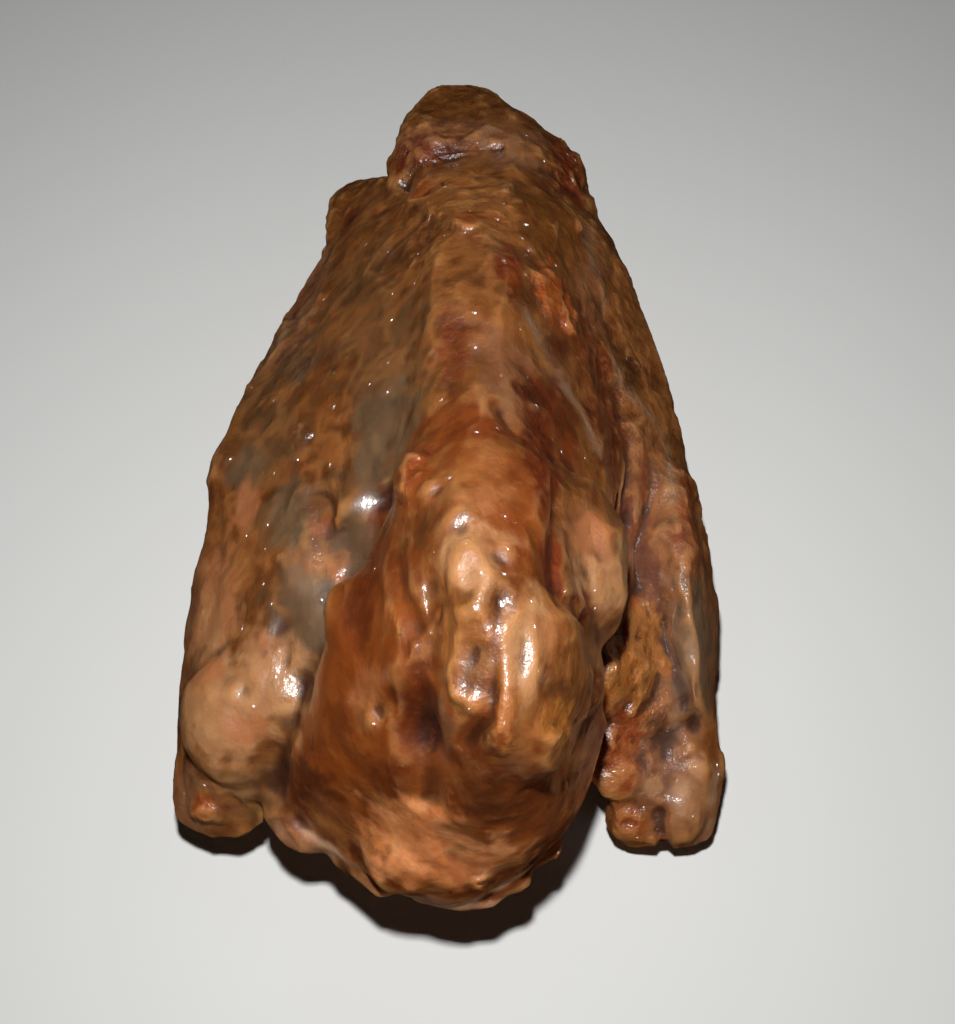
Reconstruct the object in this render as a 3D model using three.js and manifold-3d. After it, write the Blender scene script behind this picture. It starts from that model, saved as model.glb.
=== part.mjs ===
// Iron quartz: a hand-sized cluster of quartz crystals that grew together and were stained by iron.
// It lies on its side. Millimetres, +Z up; +Y runs along the crystals to their narrow end, +X is right of it.
import * as THREE from "three";
import { ConvexGeometry } from "three/addons/geometries/ConvexGeometry.js";
import { mergeVertices } from "three/addons/utils/BufferGeometryUtils.js";
import Module from "manifold-3d";

const wasm = await Module();
wasm.setup();

// The stone's overall size. The crystals below are drawn at this size, and the joined stone is fitted to it.
const WIDTH = 49;
const LENGTH = 82;
const HEIGHT = 44;

// The worn rest face: everything below this height is cut away.
const REST_Z = 0;
const CUT_DEPTH = 10;

// Each crystal is a convex block, given by its corners [x, y, z]. Neighbours overlap and are joined.

const BODY = {
  heart: [
    [-5, 33, 17], [4, 33, 17], [-4, 20, 25], [2, 20, 25.5], [-4, 6, 31.5], [1.5, 6, 32.5], [-4, -10, 35],
    [3, -10, 36], [-7, 30, 4], [6, 30, 4], [-12, 20, 2], [11, 20, 2], [-14, -14, 2], [13, -14, 2], [-8, -23, 4],
    [9, -23, 4], [-19, 2, 7], [16, 4, 5], [-18, -16, 7], [17, -14, 5], [-5, 38, 9], [3, 38, 9],
    [12, -25, 9], [-13, -26, 12],
  ],
  backFoot: [
    [-9, 27, 4], [5, 30, 4], [-13, 15, -1.5], [8, 20, -1.5], [-8, 4, -2], [12, 8, -1], [-3, 26, -1], [-15, 8, 3],
    [13, 14, 4], [0, 1, 6],
  ],
  leftFoot: [
    [-18, 3, 3], [-19, -12, 2.5], [-12, -20, -1], [-15, 4, -1.5], [-1, -14, -2], [-5, 1, -2], [-16, -21, 6],
    [-5, -25, 4], [-7, -22, -0.5],
  ],
  rightFoot: [
    [-3, -17, -1], [12, -14, -2], [14, 3, -1.5], [1, 4, -1.5], [18, -8, 3], [13, -22, 3], [2, -24, 4], [16, 4, 3],
    [7, -20, -1],
  ],
};

const LEFT_SIDE = {
  leftFlank: [
    [-9.2, 28.5, 15.5], [-15.4, 24.7, 11], [-16.4, 19.5, 12], [-18.1, 14.5, 13], [-19.9, 11, 14], [-22.6, 3, 15],
    [-23.9, -1.4, 16], [-24.3, -9, 14.5], [-4.5, 22, 23], [-5, 12, 27], [-6.5, 0, 30], [-9, -10, 28],
    [-14, 22, 3.5], [-17, 9, 1.5], [-19, -8, 1.5], [-10, -18, 14], [-20, -16, 5], [-12, -18, 23],
  ],
  leftWing: [
    [-22.6, -3, 17], [-14, -6, 24], [-24.9, -10.6, 15], [-25.7, -14, 14], [-26.4, -20, 12.5], [-26.4, -27.3, 10],
    [-23.5, -31, 12], [-19, -31.5, 13], [-14.8, -30, 15], [-12.5, -26, 19], [-10.5, -18, 25], [-19.5, -25, 21.5],
    [-14.5, -28, 20.5], [-14, -12, 25], [-20, -22, 3], [-13, -20, 4], [-24, -26, 5.5], [-18, -10, 1.5],
  ],
  leftTip: [
    [-26.9, -30.6, 9], [-26.6, -32.6, 8], [-24, -34, 8], [-20.4, -34.2, 9], [-18.2, -33, 10], [-26.2, -25, 11],
    [-17, -25, 14], [-21.5, -29, 16], [-25, -27, 5], [-19, -29, 5], [-22, -33, 5],
  ],
  leftStep: [
    [-13.4, 33.6, 8], [-15, 30.6, 9], [-15.4, 24.7, 11], [-9.4, 29, 15.5], [-9.3, 34, 9], [-8, 24, 14],
    [-12, 31, 4], [-12, 23, 4], [-7, 30, 5],
  ],
};

const RIGHT_SIDE = {
  rightRidge: [
    [3, 30, 20], [2, 20, 25.5], [7, 19, 23.5], [2, 6, 32], [9.5, 9.6, 22], [2, -8, 36], [6.8, -5, 30.5],
    [10.5, -4, 26], [13, -4, 19.5], [10, -12, 26], [7, 26, 19], [11, 12, 10], [13, -10, 10], [8, 24, 10],
  ],
  rightFlank: [
    [4, 28, 20], [11.4, 28, 14], [12.5, 23.4, 13], [14.3, 18.9, 13], [17.4, 12, 12.5], [19.3, 4.9, 11],
    [20.6, -1.4, 9], [7, 18.6, 23.5], [10.5, 9.6, 21], [14, 2, 18.5], [14, -8, 17], [20, -8, 8], [11, 22, 2],
    [16, 6, 0.5], [17, -10, 0.5], [8, -16, 6],
  ],
  blade: [
    [14, 4, 15], [16.8, -3.8, 17], [17.8, -11.4, 17.5], [18.2, -18.3, 16.5], [18.8, -22.7, 13.5], [20.7, 0, 9],
    [21.9, -6.5, 8], [22, -12, 8], [22, -19.3, 7], [21.4, -24.4, 7], [16, -2, 4], [18, -14, 2], [18, -24, 3],
    [15, -12, 8],
  ],
  pocketFloor: [
    [9, -10, 16], [15, -8, 15], [16, -16, 12], [17, -24, 10], [13, -27, 8], [9, -27, 11], [10, -24, 3],
    [17, -20, 3], [8, -14, 4], [8, -20, 15],
  ],
  toe: [
    [21.8, -27.1, 7], [21.6, -30, 6], [21.1, -33.2, 4], [19.4, -34.4, 4], [17.6, -34, 3.5], [21.4, -23, 7],
    [17, -22, 10], [14, -24, 9], [15, -29, 8], [19.5, -28, 9.5], [18, -30, 1.5], [16, -22, 2], [21, -26, 3],
  ],
  innerToe: [
    [17.8, -34.6, 4], [15.4, -33.8, 4], [14, -32.2, 5], [11.8, -30.8, 7], [10.3, -29, 9], [12, -24, 12],
    [16, -24, 10], [16.5, -31, 7.5], [13, -27, 2], [16, -31, 1.5], [9, -26, 3], [8, -20, 6],
  ],
};

const FRONT = {
  centre: [
    [0, -1, 34.3], [5, -8, 34], [5.5, -12, 37.5], [-6, -10.5, 35], [-0.8, -21.3, 44], [2.8, -27, 43],
    [1.5, -33.2, 40.5], [7, -20, 37], [8, -26, 34], [9.7, -23.3, 27], [10.2, -25.9, 24], [9.7, -30.7, 15],
    [6.7, -34.8, 16], [2.3, -39.3, 13.5], [-2.3, -40.8, 12.5], [-5, -28, 36], [-8, -38.5, 13], [-4, -26, 5],
    [6, -24, 5], [6, -36, 23], [1, -39, 22],
  ],
  centreLeft: [
    [-4.5, -8, 33], [-7.8, -15.2, 32], [-9.7, -18.1, 31], [-11.3, -21.5, 29], [-12.9, -24.9, 27],
    [-14.9, -28.6, 21.5], [-16.4, -31.6, 17], [-14.8, -34.4, 13.5], [-8.9, -38.5, 13], [-2.3, -40.8, 12.5],
    [-4, -22, 41], [-4, -27, 39.5], [-5, -33, 31], [-12, -28, 7], [-4, -26, 6], [-4, -12, 20], [-3, -39.5, 20],
  ],
};

const KNOB = {
  thumb: [
    [6, -9, 33], [9.5, -9.5, 31], [12, -13.5, 29], [12.2, -17, 27.5], [10.5, -20.6, 27], [8, -21, 31], [5.5, -19, 36],
    [5, -13, 37], [11.5, -12, 24], [10, -20, 22], [9, -11, 22], [4, -15, 30],
  ],
};

const NARROW_END = {
  cap: [
    [-7.2, 32.7, 17], [-6.3, 37.8, 16], [-3.4, 41, 15], [-0.8, 41.2, 15], [2, 39.4, 15], [3.3, 37.8, 15],
    [3, 30, 20], [-4, 29, 21], [-8.8, 29.9, 17], [-8, 27, 17], [-5, 36, 8], [2, 37, 8], [-8, 28, 10],
  ],
  shoulder: [
    [3.3, 38.2, 14.5], [6.3, 36.3, 14.5], [8.7, 34.6, 14], [10.3, 33, 13], [11, 30.4, 13], [11.4, 28.1, 13],
    [12.5, 23.4, 13], [4, 26, 21.5], [3, 35, 18], [9, 28, 4], [4, 36, 8], [2, 24, 21], [8, 29, 18],
  ],
};

function solidOf(geometry) {
  geometry.deleteAttribute("normal");
  geometry.deleteAttribute("uv");
  const merged = mergeVertices(geometry);
  return new wasm.Manifold(
    new wasm.Mesh({
      numProp: 3,
      vertProperties: new Float32Array(merged.attributes.position.array),
      triVerts: new Uint32Array(merged.index.array),
    }),
  );
}

function crystal(corners) {
  return solidOf(new ConvexGeometry(corners.map((corner) => new THREE.Vector3(...corner))));
}

function belowRest() {
  const geometry = new THREE.BoxGeometry(2 * WIDTH, 2 * LENGTH, CUT_DEPTH);
  geometry.translate(0, 0, REST_Z - CUT_DEPTH / 2);
  return solidOf(geometry);
}

// Stretches the stone by the little that brings it to its overall size, over the origin and resting on z = 0.
function fit(geometry) {
  geometry.computeBoundingBox();
  const { min, max } = geometry.boundingBox;
  geometry.translate(-(min.x + max.x) / 2, -(min.y + max.y) / 2, -min.z);
  geometry.scale(WIDTH / (max.x - min.x), LENGTH / (max.y - min.y), HEIGHT / (max.z - min.z));
  return geometry;
}

const pieces = [BODY, LEFT_SIDE, RIGHT_SIDE, FRONT, KNOB, NARROW_END].flatMap(Object.values).map(crystal);
const stone = pieces.reduce((joined, piece) => joined.add(piece)).subtract(belowRest());

const { vertProperties, triVerts } = stone.getMesh();
const geometry = new THREE.BufferGeometry();
geometry.setAttribute("position", new THREE.BufferAttribute(new Float32Array(vertProperties), 3));
geometry.setIndex(new THREE.BufferAttribute(new Uint32Array(triVerts), 1));

const ironQuartz = new THREE.Mesh(
  fit(geometry),
  new THREE.MeshStandardMaterial({ color: 0x8a5630, roughness: 0.25, metalness: 0 }),
);
ironQuartz.name = "iron_quartz";

const cluster = new THREE.Group();
cluster.add(ironQuartz);
export default cluster;
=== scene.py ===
"""Iron quartz: one hand-sized cluster of quartz crystals that grew together, clouded and stained by iron.

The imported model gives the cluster's blocks. They are welded into one closed skin here, overgrown with smaller
crystals and worked over down to tenths of a millimetre. The scene is in metres, +Z up, +Y towards the stone's
narrow end; sizes and places below are in millimetres, and MM turns them into metres.
"""
import math

import bmesh
import bpy
import numpy as np
from mathutils import Matrix, Vector, noise


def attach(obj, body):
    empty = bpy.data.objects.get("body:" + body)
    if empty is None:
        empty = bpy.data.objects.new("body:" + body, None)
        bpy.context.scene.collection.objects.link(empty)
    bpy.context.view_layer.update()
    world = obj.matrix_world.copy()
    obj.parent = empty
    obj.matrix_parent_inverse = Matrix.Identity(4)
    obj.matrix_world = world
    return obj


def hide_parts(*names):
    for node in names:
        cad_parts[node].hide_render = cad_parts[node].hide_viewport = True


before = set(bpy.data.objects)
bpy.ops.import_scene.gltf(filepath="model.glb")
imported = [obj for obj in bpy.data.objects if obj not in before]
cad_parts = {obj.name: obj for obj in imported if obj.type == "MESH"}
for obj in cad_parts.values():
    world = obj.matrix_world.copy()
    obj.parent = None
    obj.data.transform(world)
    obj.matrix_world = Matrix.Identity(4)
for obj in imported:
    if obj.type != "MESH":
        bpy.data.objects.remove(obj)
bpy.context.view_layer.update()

# ---------------------------------------------------------------------------------------------------------
# The stone
# One cluster of quartz crystals that grew together as a single solid piece, so it is one mesh. The joined
# blocks are welded, overgrown with lobes and smaller crystals, and one even skin is wrapped around it all.
# Then the skin is carved, from hollows down to grains, painted with its growths and given its finish.
# ---------------------------------------------------------------------------------------------------------

MM = 0.001
STONE = "iron_quartz"


def read_skin(piece):
    """The skin's points in millimetres, and which way each one faces."""
    count = len(piece.data.vertices)
    points = np.empty(count * 3)
    piece.data.vertices.foreach_get("co", points)
    facing = np.empty(count * 3)
    piece.data.vertex_normals.foreach_get("vector", facing)
    return points.reshape(-1, 3) / MM, facing.reshape(-1, 3)


def work(piece, kind, **settings):
    """Puts a modifier on the piece and makes its result the piece's mesh."""
    modifier = piece.modifiers.new(kind.title(), kind)
    for name, value in settings.items():
        setattr(modifier, name, value)
    graph = bpy.context.evaluated_depsgraph_get()
    worked = bpy.data.meshes.new_from_object(piece.evaluated_get(graph))
    piece.modifiers.remove(modifier)
    piece.data = worked


def new_piece(name, shape):
    mesh = bpy.data.meshes.new(name)
    shape.to_mesh(mesh)
    shape.free()
    piece = bpy.data.objects.new(name, mesh)
    bpy.context.collection.objects.link(piece)
    return piece


WELD = 0.01


def welded_blocks():
    """A copy of the stone's blocks with their loose triangles joined."""
    shape = bmesh.new()
    shape.from_mesh(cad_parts[STONE].data)
    bmesh.ops.remove_doubles(shape, verts=shape.verts, dist=WELD * MM)
    return shape


# Each growth is a kind of quartz or stain with a colour of its own, and mostly named after it, from smoky
# glass and iron rust to milky veins and orange crust. Some are partly painted light: frost lies where
# highlights fall, lilac and ash are partly a painted reflection of the pale floor, and apricot is partly
# painted light on the front crystal. Druse only roughens the rock. A growth lies in places, each a middle,
# three radii and how strong it is there.
GROWTHS = {
    "smoke": [
        ((-5.0, -2.0, 28.5), (3.2, 11.0, 9.0), 1.0),
        ((-7.0, -11.5, 27.0), (3.6, 5.0, 8.0), 1.0),
        ((-11.0, -18.5, 24.0), (4.2, 5.0, 7.0), 1.0),
        ((-12.0, -24.0, 22.0), (2.6, 3.6, 6.0), 0.9),
        ((-16.0, -2.0, 20.0), (3.5, 4.5, 6.0), 0.8),
        ((-14.5, -10.0, 22.0), (2.4, 3.0, 6.0), 0.8),
        ((-8.5, 10.0, 22.0), (4.5, 9.0, 9.0), 0.6),
        ((-16.5, 6.0, 16.0), (3.0, 8.0, 6.0), 0.7),
        ((-15.0, -31.0, 12.5), (4.5, 2.5, 6.0), 0.7),
        ((8.5, 1.5, 28.0), (2.0, 4.0, 5.0), 0.6),
    ],
    "olive": [
        ((-1.0, 37.5, 16.5), (8.0, 5.5, 8.0), 1.0),
        ((9.5, 20.0, 22.0), (3.0, 7.5, 8.0), 1.0),
        ((7.0, 26.5, 21.0), (2.5, 2.0, 5.0), 0.7),
        ((-13.5, 29.0, 10.5), (3.0, 5.0, 6.0), 1.0),
        ((10.5, 7.0, 25.0), (1.4, 3.0, 5.0), 0.9),
        ((15.0, 2.0, 20.0), (1.6, 8.0, 5.0), 0.5),
    ],
    "mauve": [
        ((21.6, -17.5, 12.5), (3.0, 8.5, 8.0), 1.0),
        ((-1.0, -31.5, 35.0), (2.6, 3.4, 5.0), 0.9),
        ((6.0, -35.0, 31.0), (4.5, 3.5, 7.0), 0.9),
        # These two, along the front crystal's foot, are partly a painted reflection of the pale floor.
        ((-3.0, -40.2, 15.0), (11.0, 1.6, 2.8), 1.0),
        ((-12.0, -35.0, 14.0), (6.0, 1.8, 2.8), 1.0),
        ((-14.5, 18.0, 14.5), (2.4, 10.0, 6.0), 0.9),
        ((6.0, 30.0, 20.0), (3.5, 3.5, 5.0), 0.9),
        ((21.0, -31.0, 7.5), (3.2, 4.0, 6.0), 0.9),
        ((17.0, -28.5, 9.0), (2.4, 3.0, 5.0), 0.8),
        ((11.3, -17.5, 31.0), (3.2, 4.4, 6.0), 0.9),
        ((4.5, -2.5, 34.5), (2.6, 6.0, 5.0), 0.7),
        ((-22.0, -31.5, 11.0), (3.4, 3.0, 5.0), 0.8),
        ((-22.5, -15.0, 15.0), (1.8, 9.0, 6.0), 0.6),
        ((13.0, 14.0, 20.0), (1.4, 10.0, 5.0), 0.6),
        ((10.0, -29.5, 27.0), (2.0, 4.0, 5.0), 0.7),
    ],
    "rust": [
        ((5.0, 10.8, 29.5), (1.2, 3.4, 4.0), 1.0),
        ((-2.5, 29.5, 19.5), (4.0, 1.8, 5.0), 0.9),
        ((11.3, 29.0, 15.5), (1.8, 5.5, 6.0), 0.9),
        ((-10.5, 25.5, 14.0), (1.8, 1.8, 4.0), 0.8),
        ((7.6, -10.5, 35.0), (1.5, 7.5, 7.0), 1.0),
        ((8.0, -19.5, 38.0), (1.1, 4.0, 4.0), 1.0),
        ((9.5, -21.8, 31.0), (1.6, 3.5, 7.0), 0.9),
        ((12.2, -28.5, 20.0), (1.6, 6.0, 9.0), 1.0),
        ((13.5, 1.0, 23.0), (2.6, 10.0, 8.0), 0.6),
        ((7.0, -3.0, 32.5), (1.2, 3.0, 5.0), 0.8),
        ((0.5, 0.5, 34.0), (1.2, 5.0, 4.0), 0.6),
        ((15.5, -10.0, 20.0), (2.0, 5.0, 6.0), 0.5),
        ((2.5, -8.0, 36.5), (3.0, 3.0, 5.0), 0.5),
    ],
    "umber": [
        ((-2.0, -29.8, 35.0), (2.0, 3.0, 5.0), 0.9),
        ((-10.5, -32.0, 18.0), (3.2, 3.0, 6.0), 1.0),
        ((-4.0, -33.0, 27.0), (2.5, 2.0, 5.0), 0.6),
        ((-6.0, -20.0, 33.0), (1.3, 5.0, 5.0), 0.7),
        ((9.5, -5.5, 30.0), (1.5, 6.0, 6.0), 0.8),
        ((14.5, -4.5, 21.5), (1.4, 6.0, 5.0), 0.7),
        ((11.8, -30.0, 20.0), (2.0, 4.5, 9.0), 1.0),
        ((10.4, 7.8, 25.0), (1.3, 2.6, 4.0), 1.0),
        ((9.0, 3.5, 28.0), (1.4, 3.0, 5.0), 0.7),
        ((-11.0, 3.0, 21.5), (1.8, 3.0, 4.0), 0.5),
        ((-8.0, -15.5, 26.0), (0.9, 4.0, 5.0), 0.6),
        ((17.5, -12.5, 15.0), (1.2, 4.0, 5.0), 0.7),
    ],
    "amber": [
        ((-7.0, -25.0, 28.0), (8.0, 17.0, 14.0), 1.0),
        ((2.0, -34.0, 25.0), (9.0, 8.0, 14.0), 0.9),
        ((0.0, -10.5, 37.0), (5.5, 5.5, 6.0), 0.9),
        ((5.0, -17.0, 40.0), (3.5, 7.0, 6.0), 0.7),
        ((17.0, -7.0, 19.0), (1.6, 5.0, 5.0), 0.6),
    ],
    "milk": [
        ((-17.5, -25.2, 20.0), (5.4, 4.8, 7.0), 1.0),
        ((-20.0, -18.5, 18.0), (2.4, 5.5, 6.0), 0.7),
        ((11.0, -19.2, 30.0), (2.6, 2.6, 5.0), 0.9),
        ((1.8, -20.2, 43.0), (3.0, 3.2, 5.0), 0.65),
        ((5.8, -27.0, 42.0), (1.6, 4.0, 5.0), 0.8),
        ((21.5, -30.5, 7.5), (1.8, 3.0, 5.0), 0.5),
        ((-13.0, -22.5, 22.5), (1.8, 2.4, 4.0), 0.6),
    ],
    "peach": [
        ((-17.5, -12.5, 20.0), (2.2, 2.6, 5.0), 0.7),
        ((-10.0, -5.0, 25.0), (1.6, 1.6, 4.0), 0.8),
        ((-10.0, -11.4, 24.8), (1.3, 1.2, 4.0), 0.8),
        ((-9.8, -15.0, 25.0), (1.8, 1.3, 4.0), 0.8),
        ((-15.2, -5.5, 21.5), (2.0, 1.6, 4.0), 0.4),
        ((0.0, 21.5, 25.0), (4.8, 4.4, 5.0), 0.65),
        ((2.8, 17.0, 27.0), (3.0, 3.0, 4.0), 0.9),
        ((-1.5, 12.5, 28.0), (1.5, 6.0, 4.0), 0.7),
        ((-10.0, 9.0, 21.5), (3.4, 2.6, 5.0), 0.5),
        ((-14.0, 3.0, 19.0), (2.6, 1.4, 4.0), 0.6),
        # This one, on the front crystal, is partly painted light that brightens it.
        ((-1.0, -37.0, 24.0), (5.6, 3.4, 4.4), 1.0),
        ((7.5, -24.0, 40.0), (1.1, 2.0, 5.0), 0.7),
        ((1.6, -13.2, 39.8), (3.6, 4.0, 5.0), 0.55),
        ((0.9, -25.3, 41.5), (0.9, 1.2, 4.0), 0.8),
        ((0.2, -27.6, 40.0), (0.7, 1.4, 4.0), 0.8),
        ((1.7, -30.2, 40.0), (1.4, 0.8, 4.0), 0.8),
        ((-5.2, -28.9, 30.5), (1.4, 1.4, 4.0), 0.8),
        ((6.0, -31.0, 38.0), (1.6, 1.6, 5.0), 0.8),
        ((-9.5, -34.0, 18.0), (3.0, 2.0, 4.0), 0.5),
    ],
    "coral": [
        ((-16.3, -27.3, 19.5), (1.8, 1.4, 4.0), 0.8),
        ((-17.5, -7.8, 20.0), (1.2, 2.8, 4.0), 0.9),
        ((-19.8, -22.0, 19.0), (1.8, 1.3, 4.0), 0.9),
        ((-19.5, -14.5, 19.0), (2.4, 5.0, 5.0), 0.6),
        ((10.8, -15.6, 32.0), (2.2, 1.7, 4.0), 0.75),
        ((-4.9, -27.3, 31.8), (2.2, 1.4, 4.0), 0.6),
        ((2.5, -15.5, 40.0), (2.5, 2.5, 5.0), 0.5),
    ],
    "ember": [
        ((9.2, 9.0, 26.6), (2.1, 3.9, 4.5), 1.0),
        ((13.8, -25.0, 12.0), (3.4, 5.5, 6.0), 1.0),
        ((15.0, -15.5, 15.0), (2.4, 4.0, 5.0), 0.5),
        ((21.3, -6.0, 14.0), (1.8, 6.5, 6.0), 0.6),
        ((-3.0, 23.5, 22.8), (1.3, 1.3, 3.0), 1.0),
        ((1.5, 16.5, 27.2), (1.4, 1.4, 3.0), 0.8),
        ((-21.0, -31.8, 11.5), (1.2, 1.0, 3.0), 0.9),
        ((4.0, -31.5, 39.5), (0.8, 2.6, 5.0), 0.45),
        ((15.5, -32.0, 6.5), (2.0, 2.0, 4.0), 0.7),
        ((-2.0, -12.0, 35.5), (1.4, 3.0, 4.0), 0.7),
    ],
    "honey": [
        ((17.5, -19.0, 13.0), (2.2, 4.6, 6.0), 1.0),
        ((7.8, -31.0, 37.0), (2.0, 1.6, 5.0), 0.6),
        ((14.8, -19.5, 15.0), (2.4, 4.0, 5.0), 1.0),
    ],
    # The front crystal's pale orange, partly painted light that brightens it.
    "apricot_and_painted_light": [
        ((-2.5, -37.0, 23.5), (5.6, 3.2, 5.0), 1.0),
        ((3.0, -37.5, 23.0), (3.0, 2.6, 4.0), 0.7),
    ],
    # The lilac of the front crystal's foot, partly a painted reflection of the pale floor.
    "lilac_and_floor_reflection": [
        ((-3.0, -40.8, 14.6), (11.0, 1.6, 2.6), 1.0),
        ((-12.0, -35.4, 13.6), (6.0, 2.0, 2.6), 0.55),
    ],
    "druse": [
        ((0.0, 21.0, 25.0), (7.0, 9.0, 6.0), 0.8),
        ((-2.5, 30.0, 19.0), (8.0, 4.0, 6.0), 1.0),
        ((-1.0, 38.0, 15.0), (8.0, 4.0, 6.0), 0.8),
        ((11.0, 27.0, 15.0), (4.0, 9.0, 7.0), 1.0),
        ((-13.0, 27.0, 11.0), (4.0, 6.0, 5.0), 0.8),
        ((15.5, 8.0, 18.0), (4.0, 14.0, 7.0), 0.7),
        ((21.0, -5.0, 14.0), (3.0, 9.0, 7.0), 0.8),
        ((-15.0, 16.0, 14.0), (4.0, 12.0, 6.0), 0.6),
        ((9.0, 9.0, 26.0), (3.0, 5.0, 5.0), 0.8),
        ((14.5, -24.0, 12.0), (5.0, 8.0, 6.0), 1.0),
    ],
    # Frost is partly painted highlight: several of its places lie where highlights and glints fall.
    "frost_and_highlight": [
        ((2.4, -27.8, 41.5), (1.1, 1.4, 4.0), 0.5),
        ((-13.4, -23.8, 22.0), (2.2, 2.0, 4.0), 0.8),
        ((11.2, -19.4, 31.0), (2.2, 1.8, 4.0), 0.7),
        ((13.5, -17.5, 29.5), (0.8, 3.2, 4.0), 0.8),
        ((5.2, -26.8, 42.5), (0.9, 3.4, 4.0), 0.6),
        ((17.8, -29.3, 8.5), (0.9, 0.9, 3.0), 0.8),
        ((-18.5, -30.5, 14.0), (3.0, 0.8, 4.0), 0.6),
        ((4.0, 13.5, 28.8), (0.8, 2.6, 3.0), 0.5),
    ],
    # Ash is the grey of the glass, partly a painted reflection of the pale floor.
    "ash_and_floor_reflection": [
        ((21.6, -17.5, 12.8), (2.4, 7.5, 6.0), 0.7),
        ((-5.1, -4.7, 28.9), (3.0, 5.0, 6.0), 0.9),
        ((-13.2, -9.5, 23.2), (2.4, 3.2, 5.0), 0.9),
        ((-7.5, -13.5, 26.0), (1.8, 2.6, 5.0), 0.8),
        ((-11.0, -19.0, 24.5), (3.0, 4.0, 6.0), 0.9),
        ((-17.5, -4.0, 19.0), (1.8, 2.6, 5.0), 0.8),
        ((-13.0, 7.0, 19.0), (2.4, 4.0, 5.0), 0.6),
    ],
}

# The front crystal's left edge, as (y, x): its amber glass ends there, at the grey glass of the flank.
FRONT_EDGE = [(-36.0, -18.0), (-31.4, -14.0), (-28.3, -12.3), (-24.5, -10.3), (-19.8, -9.0), (-14.0, -7.2)]
FRONT_EDGE += [(-10.0, -5.6), (-6.5, -4.0), (0.0, -1.0)]

# How rough each growth is, from glassy to crusted. Ash is as rough as the bare rock.
BARE_ROUGHNESS = 0.4
ROUGHNESS = {
    "smoke": 0.0,
    "olive": 0.5,
    "mauve": 0.15,
    "rust": 0.6,
    "umber": 0.1,
    "amber": 0.1,
    "milk": 0.2,
    "peach": 0.25,
    "coral": 0.2,
    "ember": 1.0,
    "honey": 0.9,
    "druse": 1.0,
    "apricot_and_painted_light": 0.3,
    "lilac_and_floor_reflection": 0.1,
    "frost_and_highlight": 0.4,
}


def cloud(points, size, octaves=3, stretch=(1, 1, 1), seed=0.0):
    """Soft lumps about size across, from -1 to 1."""
    places = points / (size * np.array(stretch)) + seed
    return np.array([noise.fractal(place, 1.0, 2.0, octaves) for place in places.tolist()])


# A growth's outline bends over BEND_SIZE by a share of its reach, and is frayed over FRAY_SIZE. The growth is
# full out to about half of its reach and fades to nothing at one and a half: FADE is half of that.
BEND_SIZE = 4.0
BEND = 0.35
FRAY_SIZE = 1.8
FRAY = 0.25
FADE = 0.52
AMBER_EDGE = 0.5


def growth_levels(points):
    """How much of each growth there is at each point, with ragged edges."""
    bends = np.stack([cloud(points, BEND_SIZE, 3, seed=seed) for seed in (11.0, 23.0, 37.0)], axis=1)
    levels = {}
    for seed, (name, places) in enumerate(GROWTHS.items(), 50):
        frayed = FRAY * cloud(points, FRAY_SIZE, 3, seed=seed)
        level = np.zeros(len(points))
        for middle, reach, amount in places:
            bent = points + bends * BEND * min(reach[0], reach[1])
            inside = 0.5 - np.linalg.norm((bent - np.array(middle)) / np.array(reach), axis=1) / 2
            share = np.clip(0.5 + (inside + frayed) / FADE, 0, 1)
            level = np.maximum(level, amount * share ** 2 * (3 - 2 * share))
        levels[name] = level
    edge = np.interp(points[:, 1], *zip(*FRONT_EDGE)) + AMBER_EDGE * bends[:, 0]
    levels["amber"] *= np.clip((points[:, 0] - edge) / AMBER_EDGE + 0.5, 0, 1)
    return levels


def roughness_of(levels):
    """How rough the rock is at each point, by what grew there."""
    rough = np.full(len(levels["smoke"]), BARE_ROUGHNESS)
    for name, value in ROUGHNESS.items():
        rough += (value - rough) * levels[name]
    return rough


# A first, coarse skin over the blocks gives the places where smaller crystals can grow.
FIRST_SKIN = 1.0
stone = new_piece(STONE + "_stone", welded_blocks())
work(stone, "REMESH", mode="VOXEL", voxel_size=FIRST_SKIN * MM, adaptivity=0)
skin, facing = read_skin(stone)
levels = growth_levels(skin)
rough = roughness_of(levels)


def lobe(shape, middle, radii, turn):
    """A rounded swelling of the rock, turned by some degrees about the vertical."""
    turned = Matrix.Rotation(math.radians(turn), 3, "Z")
    pose = Matrix.LocRotScale(Vector(middle) * MM, turned, Vector(radii) * MM)
    bmesh.ops.create_icosphere(shape, subdivisions=3, radius=1, matrix=pose)


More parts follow.
